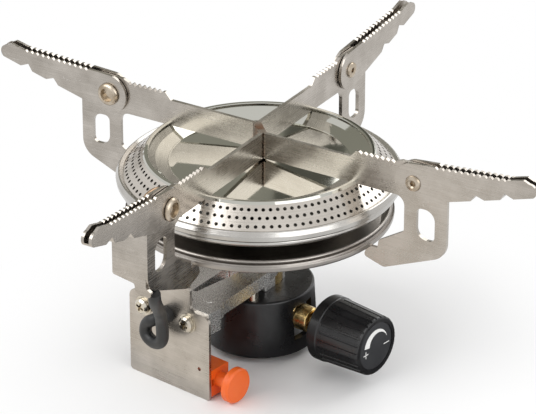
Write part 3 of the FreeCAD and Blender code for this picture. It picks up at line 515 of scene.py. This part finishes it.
nodeMaterials = {
    "left_pot_support": "supportSheet", "right_pot_support": "supportSheet", "right_arm": "armSheet",
    "back_arm": "armSheet", "left_arm": "armSheet", "front_arm": "armSheet", "pivot_rivets": "rivetSteel",
    "burner_dish": "polishedCap", "flame_band": "bandSheet", "burner_bowl": "spunSheet",
    "burner_tray": "traySheet", "tray_collar": "turnedBrass", "mixing_tube": "spunSheet",
    "support_frame": "castZinc", "frame_posts": "brightScrew", "valve_cup": "blackPlastic",
    "valve_body": "turnedBrass", "cartridge_seal": "blackRubber", "valve_pin": "brightScrew",
    "gas_jet": "turnedBrass", "jet_filter": "turnedBrass", "gland_nut": "turnedBrass",
    "spindle_seal": "blackRubber", "valve_spindle": "turnedBrass", "control_knob": "blackPlastic",
    "knob_dial": "dialPlastic", "igniter_plate": "plateSheet", "plate_screws": "brightScrew",
    "screw_washers": "brightScrew", "lead_grommet": "blackRubber", "ignition_lead": "leadSleeve",
    "ceramic_insulator": "glazedCeramic", "electrode_wire": "heatedWire", "igniter_housing": "orangePlastic",
    "igniter_button": "orangePlastic", "igniter_spring": "springWire", "piezo_element": "blackPlastic",
}
for nodeName, materialName in nodeMaterials.items():
    shown = nodes[nodeName]
    shown.data.materials.clear()
    shown.data.materials.append(materials[materialName])
    smoothByAngle(shown)
print("materials on", len(nodeMaterials), "nodes")


# Cap and bowl of the burner head, as radius, height from the arm pivots and rounding
capCorners = [
    (0, -7.3, 0), (35.5, -12.4, 3), (42.2, -7.6, 0.5), (43.0, -6.9, 0.3), (43.9, -6.9, 0.3), (44.9, -7.4, 0),
    (44.7, -8.0, 0), (43.4, -7.7, 0.3), (36.0, -13.3, 3), (0, -8.1, 0)]
bowlCorners = [
    (52.2, -14.3, 0), (53.9, -14.3, 0.5), (55.4, -15.6, 0.9), (54.6, -17.3, 0.6), (52.8, -17.6, 0.3),
    (53.6, -18.9, 0.5), (52.4, -20.2, 0.5), (20.0, -30.4, 6), (10.5, -35.6, 0), (8.05, -35.6, 0),
    (8.05, -34.8, 0), (10.1, -34.8, 0), (19.6, -29.4, 6), (51.6, -19.2, 0.5), (51.4, -17.0, 0.5),
    (52.8, -15.8, 0.3)]


def fromPivots(corners):
    return [(across, pivotHeight + rise, radius) for across, rise, radius in corners]


def makeCap():
    settle(turnPiece("burnerCap", fromPivots(capCorners), 128), "polishedCap", "polished_steel", "stove",
           "burner_dish")


def makeBowl():
    settle(turnPiece("burnerBowl", fromPivots(bowlCorners), 128), "spunSheet", "burner_sheet", "stove",
           "burner_bowl")


# Perforated band: one cone with three staggered rows of round holes
bandPlan = {"topRadius": 44.8, "footRadius": 53.1, "top": -7.2, "foot": -14.8, "wall": 0.5,
            "holesPerRow": 108, "holeRadius": 0.72, "holeSides": 10, "punchLength": 3,
            "rows": ((0.23, 0.0), (0.53, 0.5), (0.83, 0.0)), "facets": 216}


def makeFlameBand():
    plan = bandPlan
    top = pivotHeight + plan["top"]
    foot = pivotHeight + plan["foot"]
    wall = plan["wall"]
    band = turnPiece("flameBand", [
        (plan["footRadius"], foot, 0), (plan["topRadius"], top, 0), (plan["topRadius"] - wall, top - 0.2, 0),
        (plan["footRadius"] - wall, foot - 0.2, 0)], plan["facets"])
    lean = math.atan2(top - foot, plan["footRadius"] - plan["topRadius"])
    stepAngle = math.tau / plan["holesPerRow"]
    punches = []
    for share, stagger in plan["rows"]:
        radius = plan["footRadius"] + (plan["topRadius"] - plan["footRadius"]) * share
        height = foot + (top - foot) * share
        punch = makeRod("bandPunch", (radius, 0, height), plan["holeRadius"], plan["punchLength"],
                        plan["holeSides"], lean)
        punch.rotation_euler = (0, 0, stagger * stepAngle)
        applyPlace(punch)
        punches.append(punch)
    row = joinPieces("bandPunches", punches)
    turned = []
    for index in range(1, plan["holesPerRow"]):
        copy = row.copy()
        copy.data = row.data.copy()
        bpy.context.collection.objects.link(copy)
        copy.rotation_euler = (0, 0, index * stepAngle)
        turned.append(copy)
    selectOnly(*turned, row)
    bpy.ops.object.transform_apply(location=True, rotation=True, scale=True)
    combine(band, joinPieces("bandPunches", [*turned, row]), "DIFFERENCE")
    settle(band, "bandSheet", "burner_sheet", "stove", "flame_band")


# Tray under the bowl, in heights from the arm pivots
trayRim = 51.2
trayCorners = [
    (trayRim - 1.4, -28.2, 0), (trayRim - 0.9, -28.2, 0.2), (trayRim - 0.3, -30.0, 0.3),
    (trayRim, -30.4, 0.3), (trayRim, -31.7, 0.4), (49.8, -31.7, 0.3), (46.5, -32.3, 3), (33.0, -39.4, 8),
    (14.0, -45.2, 3), (8.05, -45.2, 0), (8.05, -44.5, 0), (13.8, -44.5, 3), (32.7, -38.7, 8),
    (46.2, -31.6, 3), (49.4, -31.0, 0.3), (trayRim - 1.1, -30.6, 0.2)]


def makeTray():
    settle(turnPiece("burnerTray", fromPivots(trayCorners)), "traySheet", "burner_sheet", "stove",
           "burner_tray")


# Cup over the cartridge valve, with a window for the valve's branch
cupPlan = {"radius": 21.8, "wall": 2.2, "floor": 3.4, "top": 27.1, "bore": 9.1, "edge": 1.6, "soft": 0.25,
           "window": ((12.0, -4.8, 8.6), (26.0, 6.5, 22.6))}


def makeCup():
    plan = cupPlan
    outer, top, floor = plan["radius"], plan["top"], plan["floor"]
    inner = outer - plan["wall"]
    roof = top - plan["wall"]
    cup = turnPiece("valveCup", [
        (plan["bore"], top, 0), (outer, top, plan["edge"]), (outer, floor, 0.4), (inner, floor, 0),
        (inner, roof, 1.5), (plan["bore"], roof, 0)], 128)
    combine(cup, makeBlock("cupWindow", *plan["window"]), "DIFFERENCE")
    softenEdges(cup, plan["soft"], 50)
    turnWithFrame(cup)
    settle(cup, "blackPlastic", "black_plastic", "stove", "valve_cup")


# Cast frame: hub on the cup, two arms with a round-ended slot between them, and the block behind the plate
castPlan = {"low": 31.1, "top": 36.6, "inner": 4.95, "outer": 11.8, "blockBack": -42.0, "blockFront": -49.3,
            "blockLeft": -20.2, "blockRight": 16.6, "blockBottom": 27.5, "shoulder": 30.9, "bossTop": 41.0,
            "seam": 0.05, "hubWide": 13.0, "hubDeep": 11.5, "hubFlare": 1.11, "drumShare": 0.985,
            "boss": 11.2, "bossDeep": 10.6, "bossTaper": 0.86, "markPlace": (9.0, -41.0), "markRadius": 1.5,
            "postRadius": 2.1, "postLength": 5.5, "postMiddle": 28.6, "postPlace": (9.4, -15.2)}


def makeCasting():
    plan = castPlan
    low, top, inner, outer = plan["low"], plan["top"], plan["inner"], plan["outer"]
    back, front, left, right = plan["blockBack"], plan["blockFront"], plan["blockLeft"], plan["blockRight"]
    seam = plan["seam"]
    casting = raisePiece("supportCasting", [
        (outer, -8, 0), (outer, back, 3.6), (right, back, 0.8), (right, front, 0), (left, front, 0),
        (left, back, 0.8), (-outer, back, 5), (-outer, -8, 0)], low, top)
    block = raisePiece("castBlock", [
        (right - seam, back - seam, 0.8), (right - seam, front + seam, 0), (left + seam, front + seam, 0),
        (left + seam, back - seam, 0.8)], plan["blockBottom"], low + 1)
    combine(casting, block)
    wide, deep = plan["hubWide"], plan["hubDeep"]
    hub = [(wide, -deep, 4), (-wide, -deep, 4), (-wide, deep, 6), (wide, deep, 6)]
    share = plan["drumShare"]
    drum = [(across * share, along * share, radius) for across, along, radius in hub]
    combine(casting, raisePiece("castDrum", drum, cupPlan["top"], plan["shoulder"] + 2))
    combine(casting, raisePiece("castHub", hub, plan["shoulder"], top - 0.1, plan["hubFlare"]))
    wide, deep = plan["boss"], plan["bossDeep"]
    boss = [(wide, -deep, 3), (-wide, -deep, 3), (-wide, deep, 3), (wide, deep, 3)]
    combine(casting, raisePiece("castBoss", boss, top - 0.2, plan["bossTop"], plan["bossTaper"]))
    slot = [(inner, -42.6, 4.9), (-inner, -42.6, 4.9), (-inner, -13.5, 3), (inner, -13.5, 3)]
    combine(casting, raisePiece("castSlot", slot, low - 5, top + 1), "DIFFERENCE")
    notch = [(4.6, -52, 0), (-9.0, -52, 0), (-9.0, -43.9, 1), (4.6, -43.9, 1)]
    combine(casting, raisePiece("leadNotch", notch, plan["blockBottom"] - 1, top + 1), "DIFFERENCE")
    across, along = plan["markPlace"]
    mark = makeRod("ejectorMark", (0, 0, 0), plan["markRadius"], 0.5)
    mark.scale = (1.5, 0.8, 1)
    mark.location = (across * mm, along * mm, (top - 0.1) * mm)
    applyPlace(mark)
    combine(casting, mark)
    softenEdges(casting, 0.3, 35)
    turnWithFrame(casting)
    settle(casting, "castZinc", "cast_zinc", "stove", "support_frame")


def makePosts():
    plan = castPlan
    across, along = plan["postPlace"]
    posts = []
    for side in (1, -1):
        posts.append(makeRod("framePost", (side * across, along, plan["postMiddle"]), plan["postRadius"],
                             plan["postLength"]))
    post = joinPieces("framePosts", posts)
    softenEdges(post, 0.2, 50)
    turnWithFrame(post)
    settle(post, "brightScrew", "rivet_steel", "stove", "frame_posts")


# Brass gland nut: its hexagon lies inside the cup's wall and its sleeve runs out to the knob
nutPlan = {"hexRadius": 7.2, "hexStart": 14.0, "hexEnd": 18.0, "corner": 0.4}
sleeveCorners = [
    (2.3, 13.0, 0), (4.4, 13.0, 0), (4.4, 19.4, 0.3), (4.0, 19.8, 0), (4.0, 20.6, 0), (4.4, 21.0, 0.2),
    (4.4, 26.2, 0.4), (3.7, 26.6, 0), (3.7, 31.0, 0.4), (2.3, 31.0, 0)]


def makeGlandNut():
    plan = nutPlan
    start, end = plan["hexStart"], plan["hexEnd"]
    nut = makeRod("glandNut", (0, 0, (end + start) / 2), plan["hexRadius"], end - start, 6)
    softenEdges(nut, plan["corner"], 40)
    nut = joinPieces("glandNut", [turnPiece("glandSleeve", sleeveCorners, 48), nut])
    turnWithFrame(nut, alongKnob=True)
    settle(nut, "turnedBrass", "brass", "stove", "gland_nut")


# Marks on the knob's face: a crescent that narrows, a plus and a minus, in millimetres from its axis
markPlan = {"face": 57.75, "height": 0.06, "outer": 6.9, "innerWide": 3.9, "start": 171, "end": 14,
            "steps": 28, "plus": (-6.0, -1.7), "minus": (6.4, -1.1), "arm": 1.45, "stroke": 0.36}


def makeKnobMarks():
    plan = markPlan
    outerEdge = []
    innerEdge = []
    for step in range(plan["steps"] + 1):
        share = step / plan["steps"]
        angle = math.radians(plan["start"] + (plan["end"] - plan["start"]) * share)
        inner = plan["innerWide"] + (plan["outer"] - plan["innerWide"]) * share ** 1.3
        outerEdge.append((plan["outer"] * math.cos(angle), plan["outer"] * math.sin(angle), 0))
        innerEdge.append((inner * math.cos(angle), inner * math.sin(angle), 0))
    pieces = [raisePiece("knobCrescent", outerEdge + innerEdge[-2::-1], 0, plan["height"])]
    for (across, rise), sizes in ((plan["plus"], ((1, 0), (0, 1))), (plan["minus"], ((1.15, 0),))):
        for wide, tall in sizes:
            halfWide = max(wide * plan["arm"], plan["stroke"] / 2)
            halfTall = max(tall * plan["arm"], plan["stroke"] / 2)
            pieces.append(makeBlock("knobStroke", (across - halfWide, rise - halfTall, 0),
                                    (across + halfWide, rise + halfTall, plan["height"])))
    marks = joinPieces("knobMarks", pieces)
    marks.matrix_world = Matrix((
        (0, 0, 1, plan["face"] * mm), (1, 0, 0, 0), (0, 1, 0, knobHeight * mm), (0, 0, 0, 1)))
    applyPlace(marks)
    turnWithFrame(marks)
    settle(marks, "whitePaint", "dial_plastic", "knob")


# Pivot rivets: a flat rolled disc on the seen side, a shank and a small rolled end
rivetCorners = [
    (0, -1.8, 0), (0.8, -1.8, 0), (1.0, -2.9, 0), (1.6, -3.3, 0), (2.9, -3.0, 0), (3.2, -2.35, 0),
    (1.5, -2.35, 0), (1.5, 2.35, 0), (3.7, 2.35, 0), (3.8, 2.8, 0.2), (3.3, 3.2, 0.2), (2.7, 2.9, 0.2),
    (0, 2.8, 0)]
rivetRadius = 70.0
stripOffset = 3.0


def makeRivets():
    rivets = []
    for name, turn, side in (("rightRivet", 0, -1), ("backRivet", 90, 1), ("leftRivet", 180, -1),
                             ("frontRivet", 270, 1)):
        rivet = turnPiece(name, rivetCorners, 40)
        rivet.rotation_euler = (math.radians(-90), 0, 0)
        applyPlace(rivet)
        rivet.location = (rivetRadius * mm, side * stripOffset * mm, pivotHeight * mm)
        applyPlace(rivet)
        rivet.rotation_euler = (0, 0, math.radians(turn))
        applyPlace(rivet)
        rivets.append(rivet)
    settle(joinPieces("pivotRivets", rivets), "rivetSteel", "rivet_steel", "stove", "pivot_rivets")


# Round tube along a smooth curve that listed points draw towards them
def makeTube(name, points, radius):
    curve = bpy.data.curves.new(name, "CURVE")
    curve.dimensions = "3D"
    curve.bevel_depth = radius * mm
    curve.bevel_resolution = 6
    curve.use_fill_caps = True
    curve.resolution_u = 10
    line = curve.splines.new("NURBS")
    line.points.add(len(points) - 1)
    for point, place in zip(line.points, points):
        point.co = (*(value * mm for value in place), 1)
    line.order_u = 3
    line.use_endpoint_u = True
    tube = bpy.data.objects.new(name, curve)
    bpy.context.collection.objects.link(tube)
    selectOnly(tube)
    bpy.ops.object.convert(target="MESH")
    return nameActive(name)


# Igniter lead's sleeve: down from the leg, one loop before the plate, through it and round to the igniter
leadRadius = 2.45
leadPoints = [
    (15.6, -78.4, 57.2), (14.8, -77.4, 52.4), (4.2, -62.6, 39.0), (2.6, -59.8, 30.0), (1.6, -58.8, 23.4),
    (-3.6, -57.8, 20.6), (-8.8, -57.2, 22.6), (-8.4, -56.8, 27.6), (-3.1, -58.0, 31.2), (-3.1, -50.5, 30.6),
    (-3.1, -43.8, 30.6), (-3.2, -43.8, 22.0), (-11.0, -44.0, 17.4), (-21.0, -44.2, 15.2), (-21.0, -44.2, 7.1),
    (-10.8, -44.2, 7.1)]

# Electrode's wire beside the front leg, bent over towards the flame band
wireRadius = 0.8
wirePoints = [
    (-3.2, -77.4, 66.0), (-3.2, -76.6, 78.0), (-3.2, -76.0, 89.6), (-3.2, -74.6, 92.4), (-3.2, -71.0, 93.2),
    (-3.2, -66.0, 92.6), (-3.2, -62.8, 90.4), (-3.1, -60.4, 86.4)]


def makeLead():
    lead = makeTube("leadSleeve", leadPoints, leadRadius)
    turnWithFrame(lead)
    settle(lead, "leadSleeve", "lead_cover", "stove", "ignition_lead")


def makeElectrode():
    settle(makeTube("electrodeWire", wirePoints, wireRadius), "heatedWire", "electrode_steel", "stove",
           "electrode_wire")


for makePiece in (makeCap, makeBowl, makeFlameBand, makeTray, makeCup, makeCasting, makePosts, makeGlandNut,
                  makeKnobMarks, makeRivets, makeLead, makeElectrode):
    makePiece()
    print("made", makePiece.__name__)


# Studio: pale floor, soft lamps, camera from the photograph's side
studio = {"floorSize": 6.0, "floorDrop": 0.1 * mm, "floorCentre": 0.01, "floorTone": 0.9, "floorReach": 0.13,
          "floorFade": 0.07, "worldTone": 0.62}


def makeFloor():
    bpy.ops.mesh.primitive_plane_add(size=studio["floorSize"], location=(0, 0, -studio["floorDrop"]))
    floor = nameActive("studioFloor")
    applyPlace(floor)
    material = bpy.data.materials.new("studioFloorPaper")
    material.use_nodes = True
    tree = material.node_tree
    tree.nodes.clear()
    tone = studio["floorTone"]
    paper = addNode(tree, "ShaderNodeBsdfDiffuse", Color=(tone, tone, tone, 1))
    glow = addNode(tree, "ShaderNodeEmission", Color=(1, 1, 1, 1), Strength=1.0)
    where = addNode(tree, "ShaderNodeTexCoord").outputs["Object"]
    centred = addNode(tree, "ShaderNodeMapping")
    tree.links.new(where, centred.inputs[0])
    centred.inputs["Location"].default_value = (-studio["floorCentre"], 0, 0)
    distance = addNode(tree, "ShaderNodeVectorMath", {"operation": "LENGTH"}, n0=centred.outputs[0])
    reach = studio["floorReach"]
    fade = remap(tree, distance.outputs["Value"], reach - studio["floorFade"], reach)
    rays = addNode(tree, "ShaderNodeLightPath").outputs
    seen = mathNode(tree, "MAXIMUM", rays["Is Camera Ray"], rays["Is Transmission Ray"])
    seen = mathNode(tree, "MAXIMUM", seen, rays["Is Glossy Ray"])
    share = mathNode(tree, "MULTIPLY", fade, seen)
    mixed = addNode(tree, "ShaderNodeMixShader", n0=share, n1=paper.outputs[0], n2=glow.outputs[0])
    end = addNode(tree, "ShaderNodeOutputMaterial")
    tree.links.new(mixed.outputs[0], end.inputs[0])
    floor.data.materials.append(material)


def makeWorld():
    world = bpy.data.worlds.new("studioAir")
    bpy.context.scene.world = world
    world.use_nodes = True
    tree = world.node_tree
    tree.nodes.clear()
    tone = studio["worldTone"]
    soft = addNode(tree, "ShaderNodeBackground", Color=(tone, tone, tone, 1), Strength=1.0)
    white = addNode(tree, "ShaderNodeBackground", Color=(1, 1, 1, 1), Strength=1.0)
    rays = addNode(tree, "ShaderNodeLightPath").outputs
    seen = mathNode(tree, "MAXIMUM", rays["Is Camera Ray"], rays["Is Transmission Ray"])
    seen = mathNode(tree, "MAXIMUM", seen, rays["Is Glossy Ray"])
    mixed = addNode(tree, "ShaderNodeMixShader", n0=seen, n1=soft.outputs[0], n2=white.outputs[0])
    end = addNode(tree, "ShaderNodeOutputWorld")
    tree.links.new(mixed.outputs[0], end.inputs[0])


lampPlan = {
    "keyLamp": {"place": (-0.55, -0.75, 0.95), "width": 1.2, "height": 0.9, "power": 9.0},
    "fillLamp": {"place": (0.95, -0.35, 0.55), "width": 0.8, "height": 0.8, "power": 3.5},
    "backLamp": {"place": (0.15, 0.95, 0.8), "width": 1.3, "height": 0.6, "power": 6.0},
}


def makeLamps():
    for name, plan in lampPlan.items():
        bpy.ops.object.light_add(type="AREA", location=plan["place"])
        lamp = bpy.context.view_layer.objects.active
        lamp.name = name
        lamp.data.shape = "RECTANGLE"
        lamp.data.size = plan["width"]
        lamp.data.size_y = plan["height"]
        lamp.data.energy = plan["power"]
        aim = Vector((0, 0, 0.05)) - Vector(plan["place"])
        lamp.rotation_euler = aim.to_track_quat("-Z", "Y").to_euler()


# Cards that only reflections see, which paint reflections: a dark card under the burner paints the shade
# beneath the stove, a bright card before the plate paints a lit reflection, and grey cards behind paint the
# polished cap's darker reflections
cardPlan = {
    # painted shade: a dark card, seen only in reflections, stands for the shade under the stove
    "underShadeCard": {"place": (0.05, 0.012, 0.0003), "aim": (0.05, 0.012, 1.0), "width": 0.1, "height": 0.09,
                  "tone": (0.05, 0.048, 0.045, 1)},
    # painted reflection: a bright glowing card, seen only in reflections, lifts the plate's and the front
    # leg's reflections
    "frontLightCard": {"place": (-0.035, -0.125, 0.0004), "aim": (-0.035, -0.125, 1.0), "width": 0.13,
                  "height": 0.135, "tone": (1.08, 1.04, 0.98, 1)},
    # painted reflections: grey cards, seen only in reflections, darken the polished cap's reflections
    "backCard": {"place": (-0.66, 1.06, 0.72), "aim": (0, 0, 0.08), "width": 2.0, "height": 1.15,
                 "tone": (0.37, 0.365, 0.315, 1)},
    "backStrip": {"place": (-0.45, 0.88, 0.55), "aim": (0, 0, 0.08), "width": 0.1, "height": 0.8,
                  "tone": (0.12, 0.12, 0.1, 1)},
}


def makeCards():
    for name, plan in cardPlan.items():
        bpy.ops.object.select_all(action="DESELECT")
        bpy.ops.mesh.primitive_plane_add(size=1)
        card = nameActive(name)
        card.scale = (plan["width"], plan["height"], 1)
        card.location = plan["place"]
        card.rotation_euler = (Vector(plan["aim"]) - Vector(plan["place"])).to_track_quat("Z", "Y").to_euler()
        applyPlace(card)
        material = bpy.data.materials.new(name + "Grey")
        material.use_nodes = True
        tree = material.node_tree
        tree.nodes.clear()
        # each card's emission is a painted reflection: only glossy rays see it, and they show its fixed tone
        paintedReflection = addNode(tree, "ShaderNodeEmission", Color=plan["tone"], Strength=1.0)
        tree.links.new(paintedReflection.outputs[0], addNode(tree, "ShaderNodeOutputMaterial").inputs[0])
        card.data.materials.append(material)
        card.visible_camera = False
        card.visible_diffuse = False
        card.visible_shadow = False
        card.visible_transmission = False


cameraPlan = {"azimuth": 31.84, "elevation": 25.6, "distance": 1.3032, "focalPixels": 3419.85,
              "sightedHeight": 0.088, "sightedPixel": (260.0, 135.3), "sensorWidth": 36.0}


def makeCamera():
    plan = cameraPlan
    azimuth = math.radians(plan["azimuth"])
    elevation = math.radians(plan["elevation"])
    back = Vector((math.sin(azimuth) * math.cos(elevation), -math.cos(azimuth) * math.cos(elevation),
                   math.sin(elevation)))
    right = Vector((math.cos(azimuth), math.sin(azimuth), 0))
    upward = back.cross(right)
    aside = (photoWidth / 2 - plan["sightedPixel"][0]) / plan["focalPixels"]
    below = (photoHeight / 2 - plan["sightedPixel"][1]) / plan["focalPixels"]
    sight = -back + right * aside - upward * below
    bpy.ops.object.camera_add(location=Vector((0, 0, plan["sightedHeight"])) + back * plan["distance"])
    camera = bpy.context.view_layer.objects.active
    camera.rotation_euler = sight.to_track_quat("-Z", "Y").to_euler()
    camera.data.sensor_width = plan["sensorWidth"]
    camera.data.lens = plan["focalPixels"] / photoWidth * plan["sensorWidth"]
    camera.data.clip_start = 0.05
    camera.data.clip_end = 20.0
    bpy.context.scene.camera = camera


makeFloor()
makeWorld()
makeLamps()
makeCards()
makeCamera()
bpy.context.scene.view_settings.view_transform = "Standard"
print("studio set")
